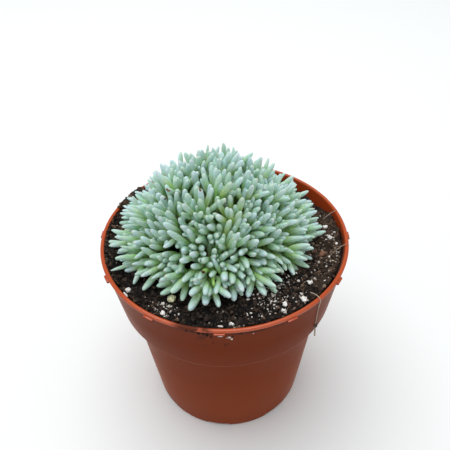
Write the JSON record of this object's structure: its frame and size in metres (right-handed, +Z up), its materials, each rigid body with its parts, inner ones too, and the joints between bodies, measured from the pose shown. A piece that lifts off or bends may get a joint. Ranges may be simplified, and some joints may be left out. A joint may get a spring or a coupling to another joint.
{
  "type": "potted delosperma sphalmantoides",
  "caption": "Small round nursery pot with a domed cushion of blue-green finger leaves growing on branching stems out of dark soil.",
  "frame": {"origin": "on the pot's axis, in the plane of the foot ring that the pot stands on", "axes": "+Z up along the pot's axis; -Y towards the picture's camera; +X to the picture's right"},
  "size_m": [0.0912, 0.0912, 0.1142],
  "materials": {
    "pot": "satin",
    "soil": "matte",
    "leaf": "matte",
    "perlite": "matte",
    "bark": "matte"
  },
  "bodies": {
    "root": {"pot": "pot", "soil": "soil", "leafy_branch_01": "leaf", "leafy_branch_02": "leaf", "leafy_branch_03": "leaf", "leafy_branch_04": "leaf", "leafy_branch_05": "leaf", "leafy_branch_06": "leaf", "leafy_branch_07": "leaf", "leafy_branch_08": "leaf", "leafy_branch_09": "leaf", "leafy_branch_10": "leaf", "leafy_branch_11": "leaf", "leafy_branch_12": "leaf", "leafy_branch_13": "leaf", "leafy_branch_14": "leaf", "leafy_branch_15": "leaf", "leafy_branch_16": "leaf", "leafy_branch_17": "leaf", "leafy_branch_18": "leaf", "leafy_branch_19": "leaf", "leafy_branch_20": "leaf", "leafy_branch_21": "leaf", "leafy_branch_22": "leaf", "leafy_branch_23": "leaf", "leafy_branch_24": "leaf", "perlite_cream": "perlite", "perlite_left": "perlite", "perlite_right_front": "perlite", "perlite_front_a": "perlite", "perlite_front_b": "perlite", "perlite_right_back_a": "perlite", "perlite_right_back_b": "perlite", "perlite_right_back_c": "perlite", "perlite_right": "perlite", "perlite_rim_front": "perlite", "perlite_rim_left": "perlite", "bark_chip_right": "bark", "bark_chip_back": "bark"}
  },
  "joints": []
}
